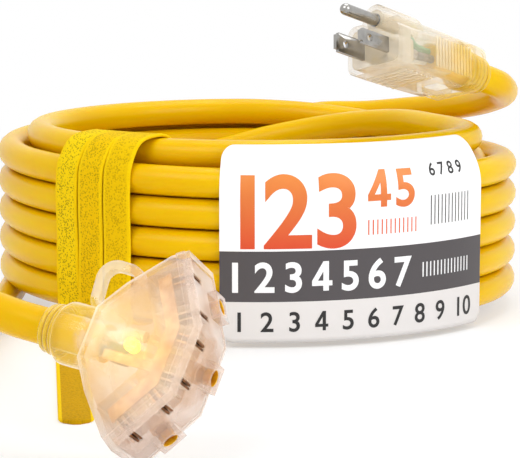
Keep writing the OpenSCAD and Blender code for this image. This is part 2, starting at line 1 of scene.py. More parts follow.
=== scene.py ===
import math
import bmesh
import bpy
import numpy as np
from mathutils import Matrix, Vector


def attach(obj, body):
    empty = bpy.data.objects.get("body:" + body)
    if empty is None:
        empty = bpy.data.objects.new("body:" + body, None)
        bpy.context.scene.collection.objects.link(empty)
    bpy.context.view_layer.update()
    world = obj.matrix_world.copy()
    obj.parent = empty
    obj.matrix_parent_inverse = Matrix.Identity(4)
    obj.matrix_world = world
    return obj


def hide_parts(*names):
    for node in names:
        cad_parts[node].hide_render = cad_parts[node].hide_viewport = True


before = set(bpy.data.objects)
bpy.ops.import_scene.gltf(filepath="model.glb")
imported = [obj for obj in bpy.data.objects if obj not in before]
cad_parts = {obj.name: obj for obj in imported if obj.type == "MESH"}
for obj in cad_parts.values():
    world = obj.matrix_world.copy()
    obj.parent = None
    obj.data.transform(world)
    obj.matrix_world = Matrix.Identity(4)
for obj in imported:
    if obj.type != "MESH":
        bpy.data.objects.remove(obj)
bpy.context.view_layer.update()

# %% [markdown]
# # A heavy extension cord, coiled and tied
# The moulded plug, the outlet tap and their metal parts come from the CAD frame and
# get their finishes here. What bends or is woven is made here: the cord, the strap and
# the printed wrap. So are the smallest forms of the clear plastic. Lengths are written in
# millimetres and turned to metres once, when a mesh is made.

MM = 0.001


def linear(code):
    """A hex colour as the linear numbers that shaders use: ((c + 0.055) / 1.055) ** 2.4."""
    srgb = np.array([int(code[i:i + 2], 16) for i in (1, 3, 5)]) / 255
    value = np.where(srgb <= 0.04045, srgb / 12.92, ((srgb + 0.055) / 1.055) ** 2.4)
    return (*value.tolist(), 1.0)


def linked(name, data):
    """A new object of the scene around its mesh, curve, camera or lamp."""
    made = bpy.data.objects.new(name, data)
    bpy.context.scene.collection.objects.link(made)
    return made


def turned(degrees):
    """The 3 x 3 turn about X, then Y, then Z, by three angles."""
    a, b, c = np.radians(degrees)
    x = np.array([[1, 0, 0], [0, math.cos(a), -math.sin(a)], [0, math.sin(a), math.cos(a)]])
    y = np.array([[math.cos(b), 0, math.sin(b)], [0, 1, 0], [-math.sin(b), 0, math.cos(b)]])
    z = np.array([[math.cos(c), -math.sin(c), 0], [math.sin(c), math.cos(c), 0], [0, 0, 1]])
    return z @ y @ x


# %% [markdown]
# ## Camera
# A product picture is taken from far away with a long lens, so that near and far turns of
# the coil look almost the same size. The lens is worked out in picture pixels, from how
# sizes shrink with distance.

# %% Camera
coil_at = np.array([-8.46, 176.26, 0.0])  # the coil's axis on the floor
sensor_mm, focal_pixels, picture_pixels = 36, 2189.6, 520
looks_down = 8.414  # degrees
camera_data = bpy.data.cameras.new("long_lens")
camera_data.sensor_width = sensor_mm
camera_data.lens = sensor_mm * focal_pixels / picture_pixels
camera_data.clip_start, camera_data.clip_end = 0.05, 20
camera = linked("camera", camera_data)
camera.location = (coil_at + [1.15, -969.2, 174.3]) * MM
camera.rotation_euler = (math.radians(90 - looks_down), 0, 0)
bpy.context.scene.camera = camera
print("camera at", [round(v, 3) for v in camera.location], "lens", round(camera_data.lens), "mm")

# %% [markdown]
# ## The cord's route
# The cord is one unbroken length: from the tap, along the floor, round the coil from the
# lowest outer turn through the core and the inner layer to the outer layer, and from its
# top to the plug. It could be drawn point by point, but a formula keeps even gaps between
# the turns. It counts turns from the plug's end: radius and height change slowly, and one
# layer steps across to the next on a smooth ramp.

# %% Winding formula
cord_d, turn_gap, layer_gap = 12.2, 0.45, 0.6
pitch, layer = cord_d + turn_gap, cord_d + layer_gap
strap_room = 2.5                      # the strap passes between the inner layer and the core
outer_r = 108.5
inner_r = outer_r - layer
core_r = inner_r - layer - strap_room
floor_z = 0.4 * cord_d                # the lowest turns press on the floor
outer_turns, inner_pitch = 4.8, 14.2
cross_t = 0.12                        # turns that a step across a layer takes
top_z = floor_z + 5.25 * pitch
in_t = outer_turns + cross_t          # where the outer layer has crossed inwards
climb_first, climbs = math.ceil(in_t) + 0.86, 4
inner_z = floor_z + pitch + 0.7       # first inner turn, over the crossing cord
inner_end = math.ceil(in_t) + 1 + climbs - 0.31
inner_top = inner_z + climbs * inner_pitch
core_t = inner_end + cross_t          # where the inner layer has crossed to the core
core_down = core_t + 0.69             # where the core has come down to the floor
core_end = math.ceil(core_down) + 0.03
out_end = core_end + 0.15             # where it has passed out under both layers
coil_turns = math.ceil(out_end) - 0.75
turn_steps = 48                       # points in a turn
clear_of_floor = 0.05
print("radii of the three layers", [round(r, 1) for r in (outer_r, inner_r, core_r)], "mm")


def ease(x):
    """A smooth step from 0 to 1: 3x^2 - 2x^3, held outside 0 to 1."""
    c = np.clip(x, 0, 1)
    return c * c * (3 - 2 * c)


def ramp(t, t0, t1, a, b):
    """From a to b while t goes from t0 to t1, along a smooth step."""
    return a + (b - a) * ease((t - t0) / (t1 - t0))


def winding(t):
    """Points at t turns: the radius steps inwards twice and out again. The height falls
    evenly in the outer layer, climbs in the inner one by a smooth step in a third of each
    turn, and falls in the core. The angle runs 360 degrees a turn from the back."""
    radius = np.where(t < in_t, ramp(t, outer_turns, in_t, outer_r, inner_r),
                      np.where(t < core_t, ramp(t, inner_end, core_t, inner_r, core_r),
                               ramp(t, core_end, out_end, core_r, outer_r)))
    level = np.clip(np.floor(t - climb_first + 0.5), 0, climbs - 1)
    climbed = np.where(t < climb_first - 0.5, 0,
                       level + ease((t - climb_first - level + 1 / 6) * 3))
    height = np.where(t < in_t, top_z - pitch * t,
                      ramp(t, in_t, in_t + 0.09, top_z - pitch * in_t, inner_z)
                      + inner_pitch * climbed)
    height = np.where(t > inner_end, ramp(t, core_t, core_down, inner_top, floor_z), height)
    angle = np.radians(90 + 360 * t)
    z = np.maximum(height, cord_d / 2 + clear_of_floor)
    return np.stack([radius * np.cos(angle), radius * np.sin(angle), z], 1)


coil_points = winding(np.linspace(0, coil_turns, int(coil_turns * turn_steps) + 1))
print("coil turns", coil_turns, "points", len(coil_points))

# %% Route of the two leads, from the coil's ends to the plug and the tap
plug_at, plug_turn = np.array([94.0, -34, 102]), turned([15, -16, -135])
tap_at, tap_turn = np.array([-66.0, -282.2, 40.9]), turned([60.7, 8.9, -27.5])
plug_route = [[30, 105, 72.5], [53, 95, 74], [73, 81, 77], [89, 63, 80], [101, 41, 84],
              [107, 21, 88], [109.5, 3, 92], [107.5, -11, 95]]
tap_route = [[-109, -36, 6.2], [-109, -64, 6.2], [-109, -92, 6.8], [-109, -120, 10],
             [-109, -148, 17], [-109, -176, 27], [-108.5, -204, 37], [-106, -230, 43],
             [-99, -252, 45.5], [-88.7, -267.3, 45.4]]
coil_top, coil_bottom = coil_points[0] + [cord_d, 0, 0], coil_points[-1] - [0, cord_d, 0]
plug_line = [coil_top, coil_top + [cord_d, 0, 0], *plug_route,
             plug_at - cord_d * plug_turn[:, 0], plug_at]
tap_line = [coil_bottom, coil_bottom - [0, cord_d, 0], *tap_route,
            tap_at - cord_d * tap_turn[:, 0], tap_at]


def lengths_along(points):
    """The distance run up to each point of a line."""
    return np.concatenate([[0], np.cumsum(np.linalg.norm(np.diff(points, axis=0), axis=1))])


def smooth_line(points, step):
    """A curve through all points, with spacing step: cubic pieces whose slopes come from
    each point's two neighbours, run by the distance along the line."""
    p = np.asarray(points, float)
    s = lengths_along(p)
    slope = np.gradient(p, s, axis=0)
    at = np.linspace(0, s[-1], int(s[-1] / step) + 1)
    i = np.clip(np.searchsorted(s, at, side="right") - 1, 0, len(s) - 2)
    h = (s[i + 1] - s[i])[:, None]
    u = (at - s[i])[:, None] / h
    return (p[i] * (2 * u**3 - 3 * u**2 + 1) + h * slope[i] * (u**3 - 2 * u**2 + u)
            + p[i + 1] * (3 * u**2 - 2 * u**3) + h * slope[i + 1] * (u**3 - u**2))


route_step = 4.0
route = smooth_line([*tap_line[::-1], *coil_points[::-1][::2], *plug_line], route_step) + coil_at

# %% [markdown]
# ## The cord
# Three wires lie in one round jacket. A sweep of circles along the route could make its
# mesh, but a curve with a round bevel stays easy to bend: the bevel is a circle of radius 1,
# and each point carries the real radius.

# %% Cord
curve = bpy.data.curves.new("cord", "CURVE")
curve.dimensions = "3D"
curve.bevel_depth = 1.0
curve.bevel_resolution = 6
curve.use_fill_caps = True
spline = curve.splines.new("POLY")
spline.points.add(len(route) - 1)
spline.points.foreach_set("co", np.c_[route * MM, np.ones(len(route))].ravel())
spline.points.foreach_set("radius", np.full(len(route), cord_d / 2 * MM))
cord = linked("cord", curve)
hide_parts("cord_coil", "plug_lead", "tap_lead")
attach(cord, "root")
print("cord has", len(route), "points")

# %% [markdown]
# ## Materials
# Every material is a Principled shader. Colours are hex values, and pattern scales are
# worked out from real sizes. A pattern reads Object coordinates, which are real metres
# here, or a piece's own flat map.


# %% Node helper
def node(tree, kind, inputs=None, **settings):
    """Adds one shader node. inputs is {socket's name or number: value, or the socket that
    feeds it}."""
    made = tree.nodes.new("ShaderNode" + kind)
    for name, value in settings.items():
        setattr(made, name, value)
    for name, value in (inputs or {}).items():
        if isinstance(value, bpy.types.NodeSocket):
            tree.links.new(value, made.inputs[name])
        else:
            made.inputs[name].default_value = value
    return made


def material(name, finish):
    """A new material whose Principled shader has the constants of finish, by socket. Returns
    it with its tree and its shader."""
    made = bpy.data.materials.new(name)
    made.use_nodes = True
    shader = made.node_tree.nodes["Principled BSDF"]
    for socket, value in finish.items():
        shader.inputs[socket].default_value = value
    return made, made.node_tree, shader


def per_metre(size_mm):
    """The scale that makes one feature of a texture about size_mm wide on Object coordinates."""
    return 1000 / size_mm


def mottled(tree, shader, colours, size_mm):
    """Base colour that drifts between two colours in soft patches of size_mm: noise from
    0.35 to 0.65 runs from one to the other. Returns the socket that gives the place."""
    place = node(tree, "TexCoord").outputs["Object"]
    noise = node(tree, "TexNoise", {"Vector": place, "Scale": per_metre(size_mm), "Detail": 2.0})
    drift = node(tree, "ValToRGB", {"Fac": noise.outputs["Fac"]})
    low, high = drift.color_ramp.elements
    low.position, high.position = 0.35, 0.65
    low.color, high.color = linear(colours[0]), linear(colours[1])
    tree.links.new(drift.outputs["Color"], shader.inputs["Base Color"])
    return place


def bumped(tree, shader, place, size_mm, height_mm):
    """Fine relief of height_mm in grains of size_mm."""
    grain = node(tree, "TexNoise", {"Vector": place, "Scale": per_metre(size_mm), "Detail": 3.0})
    bump = node(tree, "Bump", {
        "Height": grain.outputs["Fac"], "Distance": height_mm * MM, "Strength": 1.0})
    tree.links.new(bump.outputs["Normal"], shader.inputs["Normal"])


# %% [markdown]
# ## The jacket's finish
# Soft PVC is extruded through a polished die. It comes out even and slightly glossy, with a
# very faint ripple along it. Light goes a few millimetres into it and comes out warmer,
# red furthest, so its shaded sides stay golden. A little light under the surface gives
# that, where a darker colour would only look dirty.

# %% Soft PVC jacket, extruded: even, slightly glossy yellow
jacket, tree, shader = material("yellow_pvc_jacket", {
    "Roughness": 0.26, "IOR": 1.5, "Specular IOR Level": 0.12, "Subsurface Weight": 0.3,
    "Subsurface Radius": (1.0, 0.45, 0.08), "Subsurface Scale": 4 * MM})
place = mottled(tree, shader, ("#EBC000", "#E4B300"), 60)
bumped(tree, shader, place, 1.6, 0.05)
cord.data.materials.append(jacket)
print("jacket:", jacket.name)


# %% [markdown]
# ## Clear plastic
# Clear PVC is moulded round the plug and the tap. It is see-through where one looks straight
# at a wall and turns whitish where the wall is seen along its length, as at rounded edges.
# Real refraction through many thin walls would be slow and grainy, so the share that covers
# what lies behind, the alpha, follows the facing angle instead. Thick places are painted
# with the light that the parts in them scatter: yellow from the jacket, and amber from the
# brass contacts with painted shade.
#
# The tap's lamp lights the plastic and the metal round it. A lamp of Blender inside closed
# walls would be noisy, so its glow is an emission of what it lights.

# %% Glow round the tap's lamp
lamp_at = coil_at + tap_at + tap_turn @ np.array([35.0, 0, 8.5])
plastic_reach, metal_reach = 16.5, 14


def lit_by_lamp(tree, shader, place, reach_mm, strength):
    """Emission of strength at the lamp, which falls off as exp(-(distance / reach)^2)."""
    away = node(tree, "VectorMath", {0: place, 1: tuple(lamp_at * MM)}, operation="DISTANCE")
    share = node(tree, "Math", {0: away.outputs["Value"], 1: reach_mm * MM}, operation="DIVIDE")
    square = node(tree, "Math", {0: share.outputs[0], 1: 2.0}, operation="POWER")
    fall = node(tree, "Math", {0: square.outputs[0], 1: -1.0}, operation="MULTIPLY")
    bell = node(tree, "Math", {0: fall.outputs[0]}, operation="EXPONENT")
    glow_share = node(tree, "Math", {0: bell.outputs[0], 1: strength}, operation="MULTIPLY")
    shader.inputs["Emission Color"].default_value = linear("#FFE488")
    tree.links.new(glow_share.outputs[0], shader.inputs["Emission Strength"])


print("lamp at", np.round(lamp_at, 1), "mm")

# %% Clear plastic
bend_from, bend_full = 0.36, 0.92  # facing values between which a wall turns whitish
wander_mm, cloud_mm = 32, 7       # noise moves the tint along the part in clouds of this size
body_mm, rim_mm, rim_shift = 10.5, 15, 16


def clear_plastic(name, stops, straight, edge_on, start, axis, glow_strength=0.0):
    """Cover is straight where one looks square at a wall and rises by a smooth step of the
    facing angle to edge_on, and to white, where the wall is seen along its length. stops
    lists (mm from start along axis, colour): painted light that the parts in the plastic
    scatter through it, such as yellow from the jacket at its end, and amber from the brass
    contacts with painted shade. Noise shifts the stops, as inner faces of a moulding do. So
    does the distance from the axis, from body_mm to rim_mm, because flanges and eyelets hold
    nothing."""
    made, tree, shader = material(name, {
        "Roughness": 0.12, "IOR": 1.5, "Transmission Weight": 0.15})
    place = node(tree, "TexCoord").outputs["Object"]
    bumped(tree, shader, place, 3.0, 0.05)
    facing = node(tree, "LayerWeight", {"Blend": 0.35})
    rising = node(tree, "MapRange", {"Value": facing.outputs["Facing"], "From Min": bend_from,
                                     "From Max": bend_full}, interpolation_type="SMOOTHSTEP")
    cover = node(tree, "MapRange", {
        "Value": rising.outputs["Result"], "To Min": straight, "To Max": edge_on})
    tree.links.new(cover.outputs["Result"], shader.inputs["Alpha"])
    along_it = node(tree, "VectorMath", {0: place, 1: tuple(axis)}, operation="DOT_PRODUCT")
    noise = node(tree, "TexNoise", {"Vector": place, "Scale": per_metre(cloud_mm), "Detail": 4.0})
    moved = node(tree, "Math", {0: noise.outputs["Fac"], 1: wander_mm * MM,
                                2: along_it.outputs["Value"]}, operation="MULTIPLY_ADD")
    from_start = node(tree, "VectorMath", {0: place, 1: tuple(start * MM)}, operation="SUBTRACT")
    off_axis = node(tree, "VectorMath", {
        0: from_start.outputs[0], 1: tuple(axis)}, operation="CROSS_PRODUCT")
    away = node(tree, "VectorMath", {0: off_axis.outputs[0]}, operation="LENGTH")
    rim = node(tree, "MapRange", {"Value": away.outputs["Value"], "From Min": body_mm * MM,
                                  "From Max": rim_mm * MM, "To Max": rim_shift * MM})
    moved = node(tree, "Math", {0: moved.outputs[0], 1: rim.outputs["Result"]}, operation="ADD")
    begin = float(start @ axis) * MM + wander_mm * MM / 2
    share = node(tree, "MapRange", {
        "Value": moved.outputs[0], "From Min": begin, "From Max": begin + stops[-1][0] * MM})
    body = node(tree, "ValToRGB", {"Fac": share.outputs["Result"]})
    marks = body.color_ramp.elements
    for at_mm, _ in stops[1:-1]:
        marks.new(at_mm / stops[-1][0])
    for mark, (_, colour) in zip(marks, stops):
        mark.color = linear(colour)
    tint = node(tree, "Mix", {"Factor": rising.outputs["Result"], 6: body.outputs["Color"],
                              7: linear("#FFFCF8")}, data_type="RGBA")
    tree.links.new(tint.outputs[2], shader.inputs["Base Color"])
    if glow_strength:
        lit_by_lamp(tree, shader, place, plastic_reach, glow_strength)
    return made


# %% The plug's and the tap's plastics, from their cord's end to their face
in_plug, in_tap = (coil_at + plug_at, plug_turn[:, 0]), (coil_at + tap_at, tap_turn[:, 0])
# Painted light in the stops: yellow from the jacket at the cord's end, and in the tap amber from
# its brass contacts, with painted shade, towards the faces.
plug_stops = ((0, "#FFDA38"), (26, "#FFDB4A"), (42, "#FFE284"), (56, "#FFECC2"), (68, "#FFF3DC"))
tap_stops = ((0, "#FFDC3C"), (17, "#FFDC46"), (22, "#FFF6EA"), (32, "#FFF2D8"), (42, "#EFC08A"),
             (50, "#EDCAA4"), (60, "#F6E0D0"))
core_stops = ((0, "#F2CFA2"), (30, "#F2CC90"), (42, "#D0904E"), (50, "#CB9468"), (60, "#EBD0C0"))
clear_pvc = clear_plastic("clear_pvc", plug_stops, 0.22, 0.97, *in_plug)
rib_pvc = clear_plastic("clear_pvc_ribs", plug_stops, 0.5, 0.97, *in_plug)
clear_insert = clear_plastic("clear_polycarbonate", plug_stops, 0.42, 0.95, *in_plug)
lit_pvc = clear_plastic("clear_pvc_lit", tap_stops, 0.36, 0.97, *in_tap, 0.38)
ring_pvc = clear_plastic("clear_pvc_rings", tap_stops, 0.5, 0.97, *in_tap)
lit_core = clear_plastic("clear_polycarbonate_lit", core_stops, 0.4, 0.97, *in_tap, 0.45)
print("clear plastics for the plug, over", plug_stops[-1][0], "mm, and for the tap")

# %% [markdown]
# ## Metals, wires and lamp
# The plug's blades are folded from brass strip and plated with nickel, which keeps the
# strip's fine rolling marks. The tap's contacts are stamped from bare brass, and one is
# tinned so that the two sides can be told apart. A metal's colour is its reflection's
# colour, so each has one hex pair and the default IOR. The lips stand in shade behind the
# slots, so their brass is painted a darker brown: painted shade.


# %% Metals: nickel-plated blades, stamped brass, tin-plated strip
def metal(name, colours, roughness, patch_mm, glow_strength=0.0, metallic=1.0):
    """Metal with slight drift in colour in patches of patch_mm, and fine rolling marks."""
    made, tree, shader = material(name, {"Metallic": metallic, "Roughness": roughness})
    place = mottled(tree, shader, colours, patch_mm)
    bumped(tree, shader, place, 0.5, 0.01)
    if glow_strength:
        lit_by_lamp(tree, shader, place, metal_reach, glow_strength)
    return made


nickel = metal("nickel_plate", ("#AFADA9", "#9C9A96"), 0.2, 6)
brass = metal("stamped_brass", ("#E4B87C", "#BE8748"), 0.45, 3, 0.25)
tin = metal("tin_plate", ("#C8AE90", "#A98A66"), 0.34, 5, 0.25)
# Dark brown brass for the contact lips: painted shade behind the slots.
shaded_lip_brass = metal("painted_shade_brass_lips", ("#8E5A2C", "#5E3A1C"), 0.4, 2)
hole_brass = metal("bright_brass_mouths", ("#FFD226", "#EFA814"), 0.3, 2, metallic=0.4)
print("metals:", nickel.name, brass.name, tin.name, shaded_lip_brass.name, hole_brass.name)


# %% Extruded PVC of the wires and dipped lacquer of the resistor: smooth, with a soft shine
def insulation(name, colours):
    """Smooth coloured coat with patches of 8 mm and a relief that is hardly seen."""
    made, tree, shader = material(name, {"Roughness": 0.3})
    bumped(tree, shader, mottled(tree, shader, colours, 8), 0.8, 0.02)
    return made


black_wire = insulation("black_pvc", ("#1A1A1A", "#222222"))
white_wire = insulation("white_pvc", ("#F2F0E8", "#E8E6DC"))
green_wire = insulation("green_pvc", ("#0F8A4C", "#17995A"))
lacquer = insulation("resistor_lacquer", ("#C8A070", "#BA9060"))
print("coats:", black_wire.name, white_wire.name, green_wire.name, lacquer.name)

# %% Glass lamp that shines yellow: its own light hides its surface
glow, tree, shader = material("lamp_glow", {
    "Roughness": 0.2, "Emission Color": linear("#FFF028"), "Emission Strength": 3.0})
mottled(tree, shader, ("#FFF8A0", "#FFF070"), 2)
print("lamp's finish:", glow.name)

# %% [markdown]
# ## Rounded edges
# Moulded and stamped parts have no knife edges. The frame's parts are cut square, so each
# gets a copy whose triangles are merged into flat faces, and a narrow bevel on the corners
# catches the light.

# %% Softened copies
sharp_angle = 32  # degrees


def softened(name, width_mm):
    """A copy of one part of the frame whose edges sharper than sharp_angle are rounded by
    width_mm."""
    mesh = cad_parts[name].data.copy()
    work = bmesh.new()
    work.from_mesh(mesh)
    bmesh.ops.remove_doubles(work, verts=work.verts, dist=0.002 * MM)
    bmesh.ops.dissolve_limit(work, angle_limit=math.radians(1.0), verts=work.verts,
                             edges=work.edges)
    work.to_mesh(mesh)
    work.free()
    made = linked(name + "_soft", mesh)
    bevel = made.modifiers.new("edge", "BEVEL")
    bevel.width, bevel.segments = width_mm * MM, 3
    bevel.limit_method, bevel.angle_limit = "ANGLE", math.radians(sharp_angle)
    bevel.harden_normals = True
    bevel.use_clamp_overlap = True
    mesh.shade_smooth()
    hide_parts(name)
    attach(made, "root")
    return made


moulded = dict(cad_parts)
for name, slot, width_mm in (
        ("plug_housing", "clear_housing", 0.6), ("plug_insert", "clear_insert", 0.3),
        ("hot_blade", "blades", 0.25), ("neutral_blade", "blades", 0.25),
        ("tap_housing", "clear_housing", 0.7), ("outlet_block", "clear_insert", 0.3)):
    moulded[name] = softened(name, width_mm)
    print(name, "has", len(moulded[name].data.polygons), "faces before its bevel")

# %% Finishes for the moulded and metal parts
finishes = (
    (clear_pvc, "plug_housing"), (clear_insert, "plug_insert"), (lit_pvc, "tap_housing"),
    (lit_core, "outlet_block"), (nickel, "hot_blade", "neutral_blade", "ground_pin"),
    (brass, "hot_bus", "ground_bus"), (tin, "neutral_bus"), (glow, "lamp"),
    (jacket, "plug_cord_end", "tap_cord_end"), (lacquer, "lamp_resistor"),
    (black_wire, "plug_hot_wire", "tap_hot_wire"),
    (white_wire, "plug_neutral_wire", "tap_neutral_wire"),
    (green_wire, "plug_ground_wire", "tap_ground_wire"))
for finish, *names in finishes:
    for name in names:
        data = moulded[name].data
        data.materials.clear()
        data.materials.append(finish)
    print(finish.name, "on", *names)

# %% [markdown]
# ## Small forms in the clear plastic
# Four details give a clear plug and tap their look: fine raised ribs on the grip, soft rings
# on the strain reliefs, flared lips behind the slots with bright mouths in the ground holes,
# and thin chamber walls round each contact, whose edges show as pale lines. Each detail is
# one mesh of many equal pieces, worked out in the plug's or tap's own axes: x from the cord
# to the face, z up.


# %% Boxes in a part's own axes
def box_points(low, high):
    """The 8 corners of a box, x first: all pairs of its low and high ends."""
    grid = np.meshgrid(*zip(low, high), indexing="ij")
    return np.stack(grid, -1).reshape(8, 3)


box_quads = np.array([[0, 1, 3, 2], [4, 6, 7, 5], [0, 4, 5, 1], [2, 3, 7, 6], [0, 2, 6, 4],
                      [1, 5, 7, 3]])


def boxes_object(name, corners, finish, round_mm):
    """One mesh from many boxes with rounded edges: corners[n, 8, 3] in millimetres."""
    quads = (box_quads[None] + 8 * np.arange(len(corners))[:, None, None]).reshape(-1, 4)
    mesh = bpy.data.meshes.new(name)
    mesh.from_pydata((np.reshape(corners, (-1, 3)) * MM).tolist(), [], quads.tolist())
    made = linked(name, mesh)
    bevel = made.modifiers.new("edge", "BEVEL")
    bevel.width, bevel.segments = round_mm * MM, 3
    mesh.shade_smooth()
    mesh.materials.append(finish)
    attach(made, "root")
    print(name, "has", len(corners), "boxes")


# %% Grip ribs of the plug: upright ones on both sides, over the low ribs of its housing
rib_from, rib_step, rib_count, rib_half, rib_out = 23.0, 2.0, 12, 6.5, 0.5
plug_w, plug_h, grip_z = 29.0, 21.0, -3.0
ribs = [box_points([rib_from + rib_step * (i + 0.25), y * plug_w / 2 - rib_out, grip_z - rib_half],
                   [rib_from + rib_step * (i + 0.75), y * plug_w / 2 + rib_out, grip_z + rib_half])
        for i in range(rib_count) for y in (-1, 1)]

# %% Grip ribs under the plug, nearer its face
foot_from, foot_step, foot_wide, foot_half = 44, 3.2, 1.3, 10.5
under = grip_z - plug_h / 2
ribs += [box_points([foot_from + foot_step * i, -foot_half, under - 0.4],
                    [foot_from + foot_wide + foot_step * i, foot_half, under + 0.6])
         for i in range(6)]
boxes_object("grip_ribs", np.array(ribs) @ plug_turn.T + plug_at + coil_at,
             rib_pvc, 0.35)

# %% Axes of the tap's three faces
tap_len, face_len, face_turn, blade_gap = 56.0, 23.2, 32.0, 12.7
slot_z, earth_z = 5.6, -6.3       # height of the slots' middle and of the ground holes


def at_face(points, i):
    """From the axes of face i (-1, 0 or 1: x outwards, y along the fan, z across) to the
    world: each outer face is turned by face_turn about the edge that it shares with the
    middle one."""
    turn = turned([0, 0, i * face_turn])
    swing = math.radians(face_turn)
    middle_of = np.array([tap_len - abs(i) * face_len / 2 * math.sin(swing),
                          i * face_len / 2 * (1 + math.cos(swing)), 0])
    return (np.asarray(points) @ turn.T + middle_of) @ tap_turn.T + tap_at + coil_at


def at_each_face(boxes):
    """The corners of boxes, each given by its low and its high corner, at all three faces."""
    return [at_face(box_points(low, high), i) for i in (-1, 0, 1) for low, high in boxes]


print("tap's outer faces are turned by", face_turn, "degrees")

# %% Lips of the blade contacts, a pair behind each slot with a narrow gap between them
# The lips' dark brown brass is painted shade.
lip_back, lip_front, lip_gap, lip_out = -4.2, -0.9, 0.22, 1.0
wide_slot, narrow_slot = 4.1, 3.4  # half lengths of the lips
lips = [([lip_back, y + low_y, slot_z - half], [lip_front, y + high_y, slot_z + half])
        for y, half in ((-blade_gap / 2, wide_slot), (blade_gap / 2, narrow_slot))
        for low_y, high_y in ((-lip_out, -lip_gap), (lip_gap, lip_out))]
boxes_object("contact_lips", at_each_face(lips), shaded_lip_brass, 0.15)

# %% Chamber walls of the outlet block: round each slot, and behind each ground hole
deep, shallow, wall, chamber_low, chamber_high = -15, -3.1, 0.8, -0.5, 9.6
side_walls, back_half = (-9.9, -2.9, 2.9, 9.9), 9.5
earth_back, earth_half, earth_high = -14, 4.6, 3.8
walls = [([deep, y - wall / 2, chamber_low], [shallow, y + wall / 2, chamber_high])
         for y in side_walls]
walls += [([deep - wall, -back_half, chamber_low], [deep, back_half, chamber_high]),
          ([earth_back, -earth_half, earth_z - earth_high],
           [wall + earth_back, earth_half, earth_z + earth_high])]
boxes_object("chamber_walls", at_each_face(walls), lit_core, 0.3)

# %% Tubes and rings: a closed profile turned round X
round_steps = 40


def turned_object(name, profiles, place, finish):
    """One mesh from several closed profiles of (x, radius): each point runs round the X axis
    in round_steps, and place puts the points of tube k into the world."""
    turn_at = np.linspace(0, 2 * math.pi, round_steps, endpoint=False)
    points, quads, first = [], [], 0
    for k, profile in enumerate(profiles):
        profile = np.asarray(profile, float)
        tube = np.stack([profile[:, None, 0] + 0 * turn_at,
                         profile[:, None, 1] * np.cos(turn_at),
                         profile[:, None, 1] * np.sin(turn_at)], -1)
        i, j = np.meshgrid(np.arange(len(profile)) * round_steps, np.arange(round_steps),
                           indexing="ij")
        after, beside = (i + round_steps) % (len(profile) * round_steps), (j + 1) % round_steps
        quads.append(first + np.stack([i + j, i + beside, after + beside, after + j],
                                      -1).reshape(-1, 4))
        points.append(place(tube.reshape(-1, 3), k))
        first += len(profile) * round_steps
    mesh = bpy.data.meshes.new(name)
    mesh.from_pydata((np.concatenate(points) * MM).tolist(), [], np.concatenate(quads).tolist())
    work = bmesh.new()
    work.from_mesh(mesh)
    bmesh.ops.recalc_face_normals(work, faces=work.faces)
    work.to_mesh(mesh)
    work.free()
    mesh.shade_smooth()
    mesh.materials.append(finish)
    made = linked(name, mesh)
    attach(made, "root")
    print(name, "has", len(mesh.polygons), "faces")


def ring_profile(x, radius, wide, high):
    """A flattened circle of 12 points round (x, radius): wide along X and high outwards are
    its half axes."""
    a = np.radians(np.arange(0, 360, 30))
    return np.c_[x + wide * np.cos(a), radius + high * np.sin(a)]


# %% Bright mouths of the ground contacts: thin sleeves that line the holes
mouth = [[-0.6, 2.75], [1.7, 2.75], [1.9, 2.68], [1.7, 2.6], [-0.6, 2.6]]
turned_object("ground_mouths", [mouth] * 3,
              lambda points, k: at_face(points + [0, 0, earth_z], k - 1), hole_brass)

# %% Rings of both strain reliefs, a little wider towards the part
turned_object(
    "plug_relief_rings", [ring_profile(1.5 + 2.8 * k, 7.5 + 0.26 * k, 0.9, 0.6) for k in range(5)],
    lambda points, k: points @ plug_turn.T + plug_at + coil_at, rib_pvc)
turned_object(
    "tap_relief_rings", [ring_profile(1.2 + 2 * k, 7.6 + 0.3 * k, 0.7, 0.5) for k in range(3)],
    lambda points, k: points @ tap_turn.T + tap_at + coil_at, ring_pvc)

# %% [markdown]
# ## Grids
# The strap and the wrap are sections carried along a path: surfaces on a grid of two
# parameters. One function turns a grid of points into a mesh with a UV map in millimetres,
# so that a woven or printed pattern follows the surface at its real size.


# %% Grid mesh
def grid_object(name, points, uv):
    """A closed mesh from points[i, j]: quads between neighbours along rows i and round the
    columns j, and one cap at each end. uv[i, j] is each point's flat place in millimetres."""
    rows, cols = points.shape[:2]
    i, j = np.meshgrid(np.arange(rows - 1), np.arange(cols), indexing="ij")
    k = (j + 1) % cols
    faces = np.stack([i * cols + j, i * cols + k, (i + 1) * cols + k, (i + 1) * cols + j],
                     -1).reshape(-1, 4).tolist()
    faces += [list(range(cols))[::-1], list(range((rows - 1) * cols, rows * cols))]
    mesh = bpy.data.meshes.new(name)
    mesh.from_pydata((points.reshape(-1, 3) * MM).tolist(), [], faces)
    flat_map = mesh.uv_layers.new(name="flat_mm")
    corner = np.zeros(len(mesh.loops), int)
    mesh.loops.foreach_get("vertex_index", corner)
    flat_map.data.foreach_set("uv", uv.reshape(-1, 2)[corner].ravel())
    mesh.shade_smooth()
    print(name, "has", len(faces), "faces")
    return linked(name, mesh)


# %% [markdown]
# ## Hook-and-loop strap
# A strap of two bonded layers goes round the bundle three times, side by side, and its
# free end lies on the floor. A simulated cloth would lie more freely, but it would have to
# be found again for each change. So its way round the bundle is drawn once, in radius and
# height, and each turn steps sideways by one width while it passes over the top.

